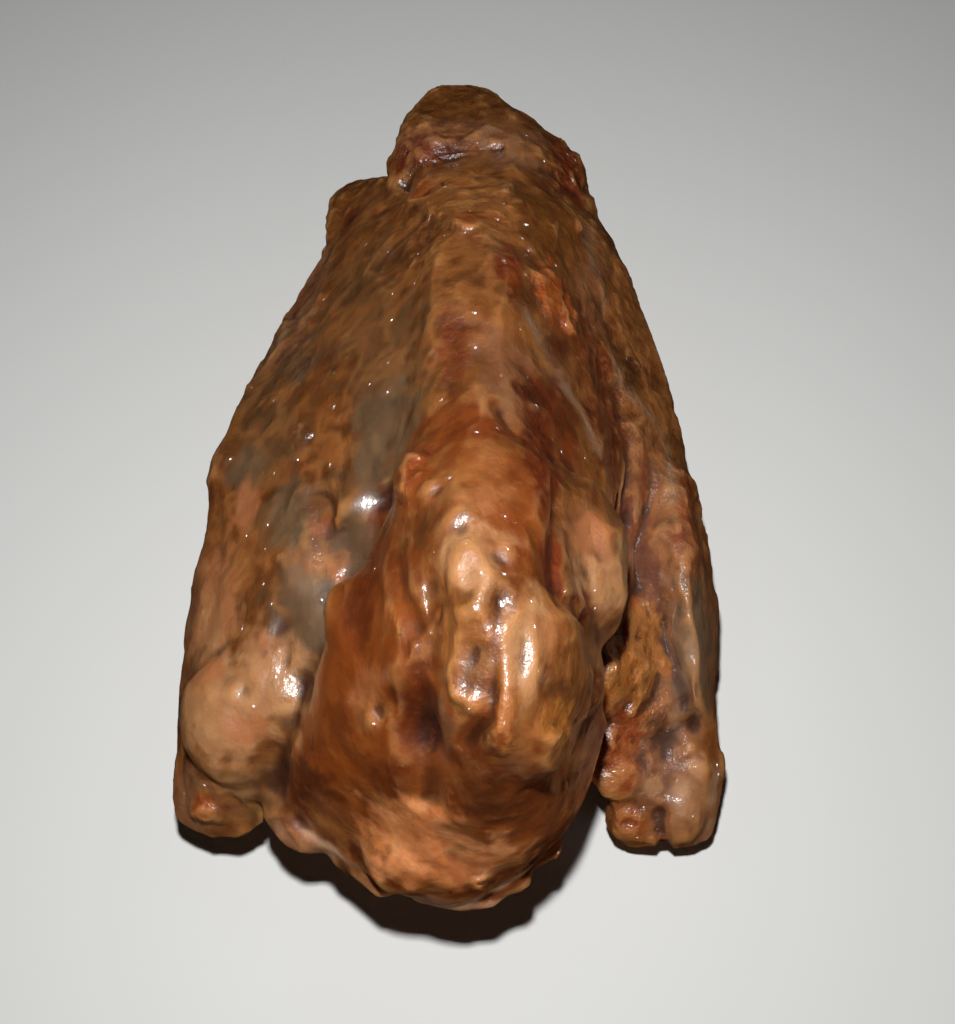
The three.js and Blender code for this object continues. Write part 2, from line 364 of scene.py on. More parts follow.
# The larger swellings: a middle, three radii and a turn in degrees.
LOBES = [
    ((-17.2, -24.6, 15.0), (5.6, 6.4, 5.8), 0),
    ((-11.0, -18.5, 18.2), (4.2, 8.5, 6.2), 12),
    ((-6.6, -8.5, 20.4), (4.6, 9.5, 7.4), 12),
    ((-0.3, -14.1, 35.6), (3.0, 3.4, 3.1), 0),
    ((2.7, -12.6, 35.2), (3.4, 5.4, 3.9), -5),
    ((1.5, -18.8, 37.6), (3.2, 5.4, 5.2), 8),
    ((4.7, -19.6, 38.0), (2.6, 3.4, 4.0), 0),
    ((6.4, -25.0, 34.6), (4.2, 7.0, 6.3), 4),
    ((1.0, -25.6, 38.6), (1.8, 2.6, 2.6), 20),
    ((0.3, -28.0, 37.2), (1.5, 2.4, 2.5), 0),
    ((1.9, -30.2, 37.8), (2.6, 1.6, 2.2), 0),
    ((6.0, -31.4, 34.6), (3.4, 3.4, 4.2), 0),
    ((-5.0, -28.5, 28.0), (3.0, 3.4, 3.1), 0),
    ((-6.3, -22.5, 29.6), (2.8, 5.2, 3.6), 20),
    ((-0.8, -36.0, 17.0), (6.4, 4.5, 5.6), 0),
    ((5.0, -34.8, 20.0), (3.6, 3.8, 7.0), 0),
    ((10.6, -16.4, 28.2), (4.0, 5.9, 5.2), -8),
    ((10.9, -18.6, 28.0), (3.7, 3.8, 4.8), 0),
    ((14.6, -16.5, 10.0), (3.0, 8.5, 6.0), 0),
    ((14.8, -20.5, 11.6), (2.6, 4.0, 4.2), 0),
    ((13.0, -20.6, 12.8), (2.4, 3.6, 5.4), 0),
    ((-12.4, -33.4, 13.2), (3.6, 2.6, 2.4), -30),
    ((18.9, -20.5, 8.6), (2.2, 5.0, 3.4), 0),
    ((16.5, -30.9, 4.2), (3.0, 3.3, 3.2), 0),
    ((20.4, -30.2, 4.8), (2.6, 4.4, 3.6), 0),
]
rng = np.random.default_rng(11)
shape = welded_blocks()
for middle, radii, turn in LOBES:
    lobe(shape, middle, radii, turn)

# The thin rim along the foot of the front crystal, painted pale as light glowing through its thin edge.
FRONT_RIM = [(-12.2, -34.0, 14.9), (-9.7, -35.7, 15.2), (-6.7, -37.5, 15.6), (-3.8, -39.1, 16.0)]
FRONT_RIM += [(-1.0, -40.0, 16.0), (1.8, -40.1, 16.4), (4.2, -39.2, 16.8), (7.0, -37.0, 17.0)]
# A scalloped ledge of small lobes lies just behind and below it, each shifted, lifted and turned a little.
LEDGE_LOBES = 3
LEDGE_RADII = [(1.0, 2.2), (1.2, 1.8), (1.0, 1.8)]
LEDGE_BACK = 0.9
LEDGE_DROP = 1.9
LEDGE_SHIFT = 1.6
LEDGE_LIFT = 0.4
LEDGE_TURN = 20
for x, y, z in FRONT_RIM:
    for _ in range(LEDGE_LOBES):
        shift = rng.uniform(-LEDGE_SHIFT, LEDGE_SHIFT)
        radii = [rng.uniform(*span) for span in LEDGE_RADII]
        middle = (x + shift, y + LEDGE_BACK, z - LEDGE_DROP + rng.uniform(-LEDGE_LIFT, LEDGE_LIFT))
        lobe(shape, middle, radii, rng.uniform(-LEDGE_TURN, LEDGE_TURN))


# A crystal's straight sides take up this much of its length; the rest is its two points.
PRISM = 0.6


def crystal(shape, middle, outwards, along, width, thick, length, roll):
    """A six-sided quartz crystal with a point at each end."""
    along = np.array(along) - np.dot(along, outwards) * np.array(outwards)
    along /= np.linalg.norm(along)
    across = np.cross(along, outwards)
    sides = np.array([across * width, outwards * thick, along * length]).T
    pose = Matrix(sides.tolist()).to_4x4()
    pose.translation = Vector(middle)
    made = bmesh.ops.create_cone(
        shape,
        cap_ends=True,
        segments=6,
        radius1=0.5,
        radius2=0.5,
        depth=PRISM,
        matrix=Matrix.Scale(MM, 4) @ pose @ Matrix.Rotation(roll, 4, "Z"),
    )
    ends = {face for corner in made["verts"] for face in corner.link_faces if len(face.verts) == 6}
    bmesh.ops.poke(shape, faces=list(ends), offset=(1 - PRISM) / 2 * length * MM)


def stands_out(point):
    """How far a point stands out of the first skin."""
    nearest = np.argmin(((skin - point) ** 2).sum(axis=1))
    return (point - skin[nearest]) @ facing[nearest]


# Small crystals lie along the stone, sunk until only their backs show, deepest where the rock is glassy. On
# the smooth right flank they lie under the skin. One whose points would stick out is left away, which is about
# half of those tried.
CRYSTAL_TRIES = 400
CRYSTAL_WIDTH = (1.6, 4.5)
LENGTH_PER_WIDTH = (1.8, 3.6)
THICK_PER_WIDTH = (0.8, 1.1)
PROUD = (0.05, 0.15)
PROUD_IN_ROUGH = (0, 0.45)
ASKEW = 0.22
RIGHT_FLANK_X = 14
RIGHT_FLANK_Y = 2
FLANK_PROUD = -1.5
MOST_OUT = 0.3
for _ in range(CRYSTAL_TRIES):
    spot = rng.integers(len(skin))
    outwards = facing[spot]
    width = rng.uniform(*CRYSTAL_WIDTH)
    length = width * rng.uniform(*LENGTH_PER_WIDTH)
    thick = width * rng.uniform(*THICK_PER_WIDTH)
    proud = rng.uniform(*PROUD) + rng.uniform(*PROUD_IN_ROUGH) * rough[spot]
    along = np.array([0, 1, 0]) + rng.normal(0, ASKEW, 3)
    if skin[spot, 0] > RIGHT_FLANK_X and skin[spot, 1] < RIGHT_FLANK_Y:
        proud = FLANK_PROUD
    middle = skin[spot] - (0.5 * thick - proud) * outwards
    ends = [middle + 0.5 * length * along, middle - 0.5 * length * along]
    if max(stands_out(end) for end in ends) > MOST_OUT:
        continue
    roll = rng.uniform(0, math.pi)
    crystal(shape, middle, outwards, along, width, thick, length, roll)

# A small broken place on the right, all shards.
SHARDS = [(8.0, 11.5, 26.6), (9.2, 10.6, 25.6), (8.6, 9.0, 26.6), (9.6, 8.8, 25.2), (8.4, 7.0, 26.8)]
SHARDS += [(9.8, 12.0, 24.6)]
SHARD_FACING = np.array([0.66, 0.1, 0.74])
SHARD_WIDTH = (1.4, 2.2)
SHARD_THICK = 1.8
SHARD_LENGTH = (2.2, 3.4)
SHARD_ROLL = (0, 3)
for middle in SHARDS:
    along = rng.normal(0, 1, 3)
    width = rng.uniform(*SHARD_WIDTH)
    length = rng.uniform(*SHARD_LENGTH)
    roll = rng.uniform(*SHARD_ROLL)
    crystal(shape, np.array(middle), SHARD_FACING, along, width, SHARD_THICK, length, roll)

# Knobbly druse in the pocket and the other crusted places.
KNOBBLES = 110
KNOBBLE_SIZE = (0.8, 1.4)
KNOBBLE_LENGTH = 1.2
SUNK_SHARE = (0.1, 0.5)
CRUSTED = 0.5
crusted = np.flatnonzero(levels["ember"] + levels["honey"] > CRUSTED)
for _ in range(KNOBBLES):
    spot = rng.choice(crusted)
    size = rng.uniform(*KNOBBLE_SIZE)
    middle = skin[spot] - facing[spot] * size * rng.uniform(*SUNK_SHARE)
    lobe(shape, middle, (size, size * KNOBBLE_LENGTH, size), rng.uniform(0, 90))

# One fine, even skin over all of it, kept under 200,000 triangles.
FINE_SKIN = 0.41
bpy.data.objects.remove(stone)
stone = new_piece(STONE + "_stone", shape)
work(stone, "REMESH", mode="VOXEL", voxel_size=FINE_SKIN * MM, adaptivity=0)
work(stone, "SMOOTH", factor=0.5, iterations=2)


def write_skin(piece, points):
    piece.data.vertices.foreach_set("co", (points * MM).ravel())
    piece.data.update()


def near(points, middle, reach):
    """1 at middle, falling to 0 at reach, which is one radius or three."""
    distance = np.clip(np.linalg.norm((points - np.array(middle)) / np.array(reach), axis=1), 0, 1)
    return (1 - distance) ** 2 * (1 + 2 * distance)


def near_line(points, line, reach):
    """The same around a line of points."""
    best = np.zeros(len(points))
    for start, end in zip(line[:-1], line[1:]):
        start, along = np.array(start), np.array(end) - np.array(start)
        share = np.clip((points - start) @ along / (along @ along), 0, 1)
        distance = np.clip(np.linalg.norm(points - start - share[:, None] * along, axis=1) / reach, 0, 1)
        best = np.maximum(best, (1 - distance) ** 2 * (1 + 2 * distance))
    return best


def neighbour_mean(piece, values, rounds):
    """values spread over the skin by averaging each point with its neighbours."""
    edges = np.empty(len(piece.data.edges) * 2, dtype=np.int64)
    piece.data.edges.foreach_get("vertices", edges)
    ends = edges.reshape(-1, 2)
    both = np.concatenate([ends, ends[:, ::-1]])
    count = np.bincount(both[:, 0], minlength=len(values))
    for _ in range(rounds):
        sums = [np.bincount(both[:, 0], column[both[:, 1]], len(values)) for column in values.T]
        values = np.stack(sums, axis=1) / count[:, None]
    return values


# Edges paler than the rock beside them, partly milky quartz and partly a painted sheen where they catch
# the light, as lines of points.
PALE_EDGES = [
    [(12.0, 21.5, 19.0), (13.0, 16.5, 19.5), (14.2, 12.5, 19.0), (14.8, 8.0, 19.5), (15.5, 4.5, 19.0)],
    [(15.5, 4.5, 19.0), (18.8, 2.0, 15.5), (19.8, 0.0, 14.0), (19.8, -6.0, 17.0)],
    [(6.2, 5.5, 30.5), (8.0, 2.2, 29.5), (9.2, 0.0, 29.0), (11.3, -2.8, 27.5), (12.5, -5.5, 26.5)],
    [(21.8, -14.4, 14.4), (20.9, -18.2, 15.2), (20.4, -21.6, 11.6), (19.6, -25.2, 9.3)],
    [(-22.0, -26.5, 13.5), (-20.5, -28.7, 14.5), (-18.0, -29.8, 15.8)],
    [(18.6, -34.0, 4.5), (20.5, -33.4, 4.5), (22.2, -33.6, 4.5), (23.3, -31.0, 6.0), (23.3, -28.0, 8.0)],
    [(-12.0, 21.0, 14.0), (-14.5, 16.0, 15.0), (-17.0, 9.5, 15.5)],
]

# Glass heals its creases; crusted rock, the rims and, by half, the knob on the right keep theirs. The right
# flank is healed flat, and the bulging front crystal most of all. Places are a middle and three radii.
KNOB = ((11, -17, 30), (6, 9, 9))
FLAT_FLANK = ((20, -11, 15), (5, 18, 9))
FRONT_BULGE = ((1, -25, 36), (13, 18, 16))
EDGE_KEPT = 4.0
KEPT_BY_ROUGHNESS = 1.6
KNOB_KEPT = 0.5
GLASS_ROUNDS = 20
BULGE_ROUNDS = 30
skin, facing = read_skin(stone)
kept = np.clip(roughness_of(growth_levels(skin)) * KEPT_BY_ROUGHNESS, 0, 1)
for line in [*PALE_EDGES, FRONT_RIM]:
    kept = np.maximum(kept, np.clip(2 * near_line(skin, line, EDGE_KEPT), 0, 1))
kept = np.maximum(kept, np.clip(2 * near(skin, *KNOB), 0, KNOB_KEPT))
kept *= 1 - np.clip(2 * near(skin, *FLAT_FLANK), 0, 1)
bulge = np.clip(1.2 * near(skin, *FRONT_BULGE), 0, 1)
skin += (neighbour_mean(stone, skin, GLASS_ROUNDS) - skin) * (1 - kept)[:, None]
skin += (neighbour_mean(stone, skin, BULGE_ROUNDS) - skin) * bulge[:, None]
write_skin(stone, skin)

# Hollows and seams between the crystals: a middle or a line of points, a reach and a depth. A depth below
# zero is a ridge.
HOLLOWS = [
    ((2.2, -27.4, 41.6), (1.3, 1.9, 3.0), 0.7),
    ((-2.0, -31.3, 33.5), 3.0, 0.8),
    ((10.6, 8.0, 25.2), (1.3, 2.2, 3.0), 1.2),
    ((2.0, -33.8, 37.0), 2.8, 0.3),
    ((-13.5, -19.5, 23.5), 2.4, 0.4),
]
SEAMS = [
    ([(-1.6, -22.5, 40.5), (-1.2, -27.0, 38.5), (-2.0, -31.0, 34.0), (-1.5, -35.0, 29.0)], 2.6, 0.9),
    ([(3.9, -24.0, 42.8), (3.7, -28.0, 41.8), (2.9, -31.5, 40.2), (1.0, -33.0, 37.0)], 1.3, 0.8),
    ([(2.6, -24.4, 42.2), (0.9, -25.0, 41.5), (0.2, -27.2, 40.4), (0.8, -29.6, 40.0)], 1.2, -0.7),
    ([(0.8, -29.6, 40.0), (2.2, -30.5, 40.2)], 1.2, -0.5),
    ([(-4.2, -17.0, 36.5), (-3.4, -21.0, 38.0), (-2.4, -24.5, 38.5)], 1.6, 0.6),
    ([(5.8, -18.0, 39.5), (7.0, -22.0, 39.0), (8.2, -26.5, 37.0), (8.0, -30.0, 35.0)], 1.5, 0.5),
    (
        [(4.5, -6.0, 35.5), (8.4, -14.9, 36.7), (7.7, -19.8, 38.4), (8.3, -22.6, 39.0), (10.5, -22.9, 34.0)],
        1.7,
        0.8,
    ),
    ([(-21.5, -29.0, 15.5), (-18.0, -30.6, 14.5), (-14.5, -30.0, 16.0)], 1.8, 0.3),
    ([(18.6, -31.5, 7.0), (19.1, -35.0, 3.0)], 1.1, 0.6),
    ([(-7.5, 33.0, 17.5), (-3.0, 31.5, 19.5), (2.5, 32.0, 18.5)], 1.5, 0.4),
]


CREST_STEEPNESS = 2.2


def crests(points, size, octaves=3, stretch=(1, 1, 1), seed=0.0):
    """Sharp-edged ridges about size apart, 1 on their tops."""
    return 1 - np.abs(cloud(points, size, octaves, stretch, seed)) * CREST_STEEPNESS


# Swells over the whole stone, flutes along the crystals except on the flank and the knob, lumps, and notches
# in the front rim. Each height stands beside the size or gap it repeats over. IN_GLASS is the share of it
# that is left in clear glass; it grows from there with the roughness.
UNFLUTED = [((20, -11, 15), (6, 20, 10)), ((11.5, -18, 31), (4, 6, 7))]
SWELL_HEIGHT, SWELL_SIZE = 0.35, 8.0
FLUTE_HEIGHT, FLUTE_GAP, FLUTE_STRETCH, FLUTE_IN_GLASS = 0.22, 4.6, (1, 5, 1.4), 0.35
LUMP_HEIGHT, LUMP_SIZE, LUMP_IN_GLASS = 0.16, 3.2, 0.4
NOTCH_HEIGHT, NOTCH_SIZE, NOTCH_REACH = 0.4, 2.6, 3.0
skin, facing = read_skin(stone)
levels = growth_levels(skin)
rough = roughness_of(levels)
lift = SWELL_HEIGHT * cloud(skin, SWELL_SIZE, 2, seed=3.1)
for middle, reach, depth in HOLLOWS:
    lift -= depth * near(skin, middle, reach)
for line, reach, depth in SEAMS:
    lift -= depth * near_line(skin, line, reach)
ridges = crests(skin, FLUTE_GAP, 2, FLUTE_STRETCH, seed=9.7) - 0.5
flutes = FLUTE_HEIGHT * ridges * (FLUTE_IN_GLASS + rough)
for middle, reach in UNFLUTED:
    flutes *= 1 - np.clip(2 * near(skin, middle, reach), 0, 1)
lift += flutes
lift += NOTCH_HEIGHT * cloud(skin, NOTCH_SIZE, 2, seed=4.4) * near_line(skin, FRONT_RIM, NOTCH_REACH)
lift += LUMP_HEIGHT * cloud(skin, LUMP_SIZE, 2, seed=1.7) * (LUMP_IN_GLASS + rough)
skin += facing * lift[:, None]
write_skin(stone, skin)

# Flat faces and chips: each cuts the top off what stands highest around a spot, deeper in rough rock. A cut
# fades out between one and one and a half times its reach.
FACES = 600
FACE_REACH = (1.2, 4.0)
FACE_DEPTH = (0.08, 0.28)
FACE_ASKEW = 0.1
DEPTH_IN_GLASS, DEPTH_PER_ROUGHNESS = 0.12, 1.2
CUT_END, CUT_FADE = 1.5, 0.4
skin, facing = read_skin(stone)
for _ in range(FACES):
    spot = rng.integers(len(skin))
    reach = rng.uniform(*FACE_REACH)
    far = np.linalg.norm(skin - skin[spot], axis=1) / reach
    around = far < 1
    way = facing[around].mean(axis=0) + rng.normal(0, FACE_ASKEW, 3)
    way /= np.linalg.norm(way)
    height = (skin - skin[spot]) @ way
    deeper = DEPTH_IN_GLASS + DEPTH_PER_ROUGHNESS * rough[spot]
    depth = rng.uniform(*FACE_DEPTH) * reach ** 0.5 * deeper
    fading = np.clip((CUT_END - far) / CUT_FADE, 0, 1)
    over = np.maximum(height - height[around].max() + depth, 0) * fading
    skin -= over[:, None] * way
write_skin(stone, skin)

# Worn, polished spots: a middle, which way each faces, and how far it reaches across and along. Each is
# slightly domed, with a dome's radius ROUNDNESS times its reach. Skin that lies more than POLISH_HEIGHT above
# or below the spot, or is turned away from it, stays as it is.
ROUNDNESS = 7
POLISH_HEIGHT = 2
FACING_SHARE = 0.3
POLISHED = [
    ((-0.8, -14.1, 38.6), (-0.05, -0.25, 0.97), 1.4, 1.5),
    ((1.2, -17.9, 41.9), (-0.07, -0.22, 0.97), 1.7, 1.8),
    ((1.6, -21.6, 43.9), (-0.07, -0.19, 0.98), 1.7, 2.6),
    ((4.2, -20.5, 42.0), (-0.10, -0.20, 0.98), 1.4, 1.5),
    ((5.6, -27.8, 41.7), (-0.08, -0.14, 0.99), 1.7, 3.4),
    ((-5.1, -29.2, 31.8), (-0.01, -0.11, 0.99), 1.2, 1.2),
    ((-6.6, -10.6, 27.6), (0.03, -0.26, 0.96), 5.2, 1.6),
    ((2.6, -39.3, 20.7), (-0.05, -0.03, 1.0), 1.4, 0.9),
    ((15.4, -23.8, 12.4), (-0.13, -0.14, 0.98), 0.8, 0.8),
    ((17.6, -24.6, 10.4), (-0.15, -0.13, 0.98), 0.8, 0.8),
    ((13.6, -27.3, 10.6), (-0.12, -0.11, 0.99), 0.8, 0.8),
    ((14.7, -26.2, 11.1), (-0.13, -0.12, 0.98), 0.6, 0.6),
    ((18.2, -28.4, 8.8), (-0.17, -0.09, 0.98), 0.6, 0.6),
    ((-12.7, -24.5, 22.4), (0.05, -0.13, 0.99), 2.4, 2.6),
    ((-16.9, -24.4, 21.2), (0.09, -0.13, 0.99), 1.6, 1.4),
]
skin, facing = read_skin(stone)
for middle, way, across, along in POLISHED:
    off = skin - np.array(middle)
    height = off @ np.array(way)
    far = (off[:, 0] / across) ** 2 + (off[:, 1] / along) ** 2
    turned_to = facing @ np.array(way) > FACING_SHARE
    around = (far < 1) & (np.abs(height) < POLISH_HEIGHT) & turned_to
    dome = off[around, 0] ** 2 / across + off[around, 1] ** 2 / along
    top = height[around].mean() - dome / (2 * ROUNDNESS)
    change = (top - height[around]) * (1 - far[around]) ** 1.5
    skin[around] += change[:, None] * np.array(way)
write_skin(stone, skin)


def grains(points, size, stretch=(1, 1, 1), seed=0.0):
    """How far each point is from the nearest grain's middle. Grains are size apart, and size counts as 1."""
    places = points / (size * np.array(stretch)) + seed
    return np.array([noise.voronoi(place)[0][0] for place in places.tolist()])


# Grains of druse, pits in patches where the rock is crusted, and a fine tooth. A RADIUS is a share of the gap
# beside it. Nothing goes below the floor.
GRAIN_HEIGHT, GRAIN_GAP, GRAIN_RADIUS = 0.24, 1.4, 0.7
PIT_DEPTH, PIT_GAP, PIT_STRETCH, PIT_RADIUS = 0.35, 2.1, (1, 1.6, 1), 0.34
PITTED_PATCH, PITTED_FROM = 5.0, 0.1
TOOTH_HEIGHT, TOOTH_SIZE, TOOTH_IN_GLASS = 0.05, 0.9, 0.1
skin, facing = read_skin(stone)
domes = np.clip(1 - grains(skin, GRAIN_GAP, seed=8.3) / GRAIN_RADIUS, 0, 1)
lift = GRAIN_HEIGHT * domes * np.clip(rough - 0.2, 0, 1)
pits = np.clip(1 - grains(skin, PIT_GAP, PIT_STRETCH, seed=2.9) / PIT_RADIUS, 0, 1)
pits *= cloud(skin, PITTED_PATCH, 1, seed=6.1) > PITTED_FROM
lift -= PIT_DEPTH * pits * np.clip(2 * rough - 0.6, 0, 1)
lift += TOOTH_HEIGHT * cloud(skin, TOOTH_SIZE, 2, seed=5.2) * (TOOTH_IN_GLASS + rough)
skin += facing * lift[:, None]
skin[:, 2] = np.maximum(skin[:, 2], 0)
write_skin(stone, skin)


def paint(piece, name, values):
    layer = piece.data.attributes.new(name, "FLOAT", "POINT")
    layer.data.foreach_set("value", np.clip(values, 0, 1).astype(np.float32))


# Faces etched dull: a middle and three radii.
DULL = [
    ((17.5, -8.0, 16.0), (6.0, 13.0, 8.0)),
    ((18.5, -27.0, 9.0), (5.0, 5.0, 5.0)),
    ((20.0, -19.0, 13.0), (4.0, 8.0, 5.0)),
    ((-10.8, -14.0, 24.0), (4.5, 4.0, 5.0)),
    ((-1.0, 31.5, 18.5), (8.0, 3.5, 5.0)),
]
# What the finish follows, painted on the skin: growths, roughness, the pale edges and rim that carry painted
# sheen and glow, and how far each point stands out of the skin around it, close by as crests and further
# round as swells, which carry painted light and shade.
CREST_ROUNDS, CREST_RANGE = 6, 0.3
SWELL_ROUNDS, SWELL_RANGE = 50, 1.6
EDGE_SHEEN_REACH, RIM_GLOW_REACH = 1.1, 0.9
skin, facing = read_skin(stone)
crest = ((skin - neighbour_mean(stone, skin, CREST_ROUNDS)) * facing).sum(axis=1)
swell = ((skin - neighbour_mean(stone, skin, SWELL_ROUNDS)) * facing).sum(axis=1)
levels["rough"] = rough
levels["crest"] = 0.5 + crest / CREST_RANGE
levels["swell"] = 0.5 + swell / SWELL_RANGE
levels["milky_edge_and_sheen"] = np.max([near_line(skin, line, EDGE_SHEEN_REACH) for line in PALE_EDGES], axis=0)
levels["painted_rim_glow"] = near_line(skin, FRONT_RIM, RIM_GLOW_REACH)
levels["dull"] = np.max([np.clip(2 * near(skin, *spot), 0, 1) for spot in DULL], axis=0)
levels["everywhere"] = np.ones(len(skin))
for name, strength in levels.items():
    paint(stone, name, strength)


def linear(code):
    """An sRGB hex colour as linear light."""
    parts = [int(code[i : i + 2], 16) / 255 for i in (1, 3, 5)]
    return [p / 12.92 if p <= 0.04045 else ((p + 0.055) / 1.055) ** 2.4 for p in parts] + [1]


def add(tree, kind, inputs=None, **settings):
    """A node of a kind, with its settings, and with each input given a value or linked to an output."""
    node = tree.nodes.new("ShaderNode" + kind)
    for name, value in settings.items():
        setattr(node, name, value)
    for key, value in (inputs or {}).items():
        if isinstance(value, bpy.types.NodeSocket):
            tree.links.new(value, node.inputs[key])
        else:
            node.inputs[key].default_value = value
    return node


# The patterns of stain in the quartz: size, roughness and stretch. Clouds and veils are 4 to 8 mm across,
# streaks run along the crystals, and specks and grain are about as large as the druse's grains.
DETAIL = 3
PATTERNS = {
    "clouds": (8.0, 0.5, (1, 0.8, 1)),
    "veils": (4.2, 0.5, (1, 0.8, 1)),
    "streaks": (3.0, 0.5, (1, 0.6, 1)),
    "mottle": (2.4, 0.5, (1, 0.9, 1)),
    "specks": (0.9, 0.6, (1, 0.9, 1)),
    "grain": (1.5, 0.6, (1, 0.9, 1)),
}
# Each colour, laid over the ones before it: where, by which pattern, from and to which value, how strong.
COLOURS = [
    ("everywhere", "clouds", 0.3, 0.7, 1.0, "#66370c"),
    ("everywhere", "mottle", 0.36, 0.79, 0.64, "#a16026"),
    ("everywhere", "streaks", 0.44, 0.74, 0.48, "#76340d"),
    ("everywhere", "web", 0.1, 0.0, 0.6, "#a96b34"),
    ("everywhere", "web", 0.06, 0.2, 0.4, "#4a280e"),
    ("smoke", "everywhere", 0, 1, 0.85, "#604122"),
    ("smoke", "clouds", 0.32, 0.7, 0.8, "#734e2a"),
    ("smoke", "veils", 0.46, 0.66, 0.7, "#975f34"),
    ("smoke", "mottle", 0.44, 0.72, 0.56, "#8d5523"),
    ("smoke", "web", 0.1, 0.0, 0.65, "#9e6937"),
    ("olive", "everywhere", 0, 1, 0.9, "#723e0c"),
    ("olive", "mottle", 0.36, 0.79, 0.56, "#935719"),
    ("mauve", "everywhere", 0, 1, 0.9, "#855231"),
    ("mauve", "streaks", 0.4, 0.7, 0.64, "#a97952"),
    ("mauve", "veils", 0.45, 0.7, 0.5, "#925428"),
    ("amber", "everywhere", 0, 1, 0.95, "#8f440d"),
    ("amber", "clouds", 0.59, 0.35, 0.85, "#542304"),
    ("amber", "mottle", 0.42, 0.8, 0.56, "#b36423"),
    ("rust", "everywhere", 0, 1, 0.9, "#6f2302"),
    ("rust", "streaks", 0.42, 0.68, 0.64, "#893a07"),
    ("rust", "clouds", 0.52, 0.32, 0.8, "#3d1302"),
    ("umber", "everywhere", 0, 1, 0.85, "#5a1e01"),
    ("umber", "mottle", 0.48, 0.82, 0.48, "#8f3c03"),
    # Ash: grey glass, partly a painted reflection of the pale floor.
    ("ash_and_floor_reflection", "everywhere", 0, 1, 0.85, "#694f35"),
    ("ash_and_floor_reflection", "veils", 0.42, 0.66, 0.7, "#8d6d4b"),
    ("ash_and_floor_reflection", "mottle", 0.5, 0.3, 0.5, "#4a3823"),
    ("peach", "everywhere", 0, 1, 0.9, "#a1612b"),
    ("peach", "mottle", 0.38, 0.68, 0.75, "#b87d41"),
    ("peach", "veils", 0.55, 0.31, 0.7, "#8a471a"),
    ("milk", "everywhere", 0, 1, 0.85, "#bf8859"),
    ("milk", "mottle", 0.36, 0.76, 0.64, "#dbaa77"),
    ("milk", "veils", 0.52, 0.32, 0.7, "#af693a"),
    ("coral", "everywhere", 0, 1, 0.85, "#bb7749"),
    ("coral", "veils", 0.45, 0.65, 0.5, "#bb7749"),
    ("ember", "everywhere", 0, 1, 0.95, "#9e450c"),
    ("ember", "mottle", 0.36, 0.79, 0.72, "#b46927"),
    ("ember", "clouds", 0.5, 0.33, 0.6, "#692404"),
    ("honey", "everywhere", 0, 1, 0.9, "#a86321"),
    ("honey", "mottle", 0.36, 0.79, 0.72, "#c9883d"),
    # Apricot: pale orange quartz, partly painted light on the front crystal.
    ("apricot_and_painted_light", "everywhere", 0.0, 1.0, 0.9, "#e58e52"),
    ("apricot_and_painted_light", "mottle", 0.4, 0.7, 0.64, "#f9b47b"),
    ("apricot_and_painted_light", "veils", 0.5, 0.3, 0.8, "#b35f2b"),
    # Lilac: partly the rim's own tint, partly a painted reflection of the pale floor.
    ("lilac_and_floor_reflection", "everywhere", 0.0, 1.0, 0.85, "#bb8465"),
    ("lilac_and_floor_reflection", "mottle", 0.4, 0.7, 0.48, "#dbab86"),
    # Frost: pale frosted quartz, partly a painted highlight.
    ("frost_and_highlight", "everywhere", 0, 1, 0.75, "#b68557"),
    # Pale edges: partly milky quartz, partly a painted sheen where the edges catch the light.
    ("milky_edge_and_sheen", "mottle", 0.3, 0.6, 0.6, "#a7896c"),
    # Painted glow: the thin front rim painted pale, as light shining through it.
    ("painted_rim_glow", "mottle", 0.2, 0.6, 0.64, "#efc8a0"),
    ("rough", "specks", 0.5, 0.8, 0.4, "#c98747"),
    ("rough", "specks", 0.5, 0.25, 0.5, "#401905"),
    # Painted light and shade: crests are painted lighter where they catch the light, and creases and hollows
    # darker where shade gathers.
    ("everywhere", "crest", 0.6, 1.1, 0.4, "#d29a5b"),
    ("everywhere", "crest", 0.4, 0, 0.7, "#471804"),
    ("everywhere", "swell", 0.46, 0.05, 0.8, "#3f1603"),
]

# Natural quartz, clouded by iron oxide and etched by weather. Light goes about a millimetre into it and comes
# back orange; the etched surface has a broad, soft sheen, and its glassy spots give small sharp glints.
finish = bpy.data.materials.new("natural quartz, iron-stained and glassy")
finish.use_nodes = True
tree = finish.node_tree
tree.nodes.clear()
place = add(tree, "TexCoord").outputs["Object"]
fields = {name: add(tree, "Attribute", attribute_name=name).outputs["Fac"] for name in levels}
for name, (size, roughness, stretch) in PATTERNS.items():
    along = add(tree, "Mapping", {"Vector": place, "Scale": stretch}).outputs[0]
    inputs = {"Vector": along, "Scale": 1 / (size * MM), "Detail": DETAIL, "Roughness": roughness}
    fields[name] = add(tree, "TexNoise", inputs).outputs["Fac"]

# A web of lighter veins, where the noise crosses its middle value. Its meshes are about 4.5 mm wide.
WEB_SIZE = 4.5
inputs = {"Vector": place, "Scale": 1 / (WEB_SIZE * MM), "Detail": 2, "Roughness": 0.5}
noise_value = add(tree, "TexNoise", inputs).outputs["Fac"]
from_middle = add(tree, "Math", {0: noise_value, 1: 0.5}, operation="SUBTRACT").outputs[0]
fields["web"] = add(tree, "Math", {0: from_middle}, operation="ABSOLUTE").outputs[0]

# The growths fade into one another grain by grain.
edges = dict(fields)
for growth in GROWTHS:
    inputs = {0: fields["grain"], 1: 0.8, 2: fields[growth]}
    grainy = add(tree, "Math", inputs, operation="MULTIPLY_ADD").outputs[0]
    inputs = {"Value": grainy, "From Min": 0.5, "From Max": 1.3}
    edges[growth] = add(tree, "MapRange", inputs, interpolation_type="SMOOTHSTEP").outputs["Result"]

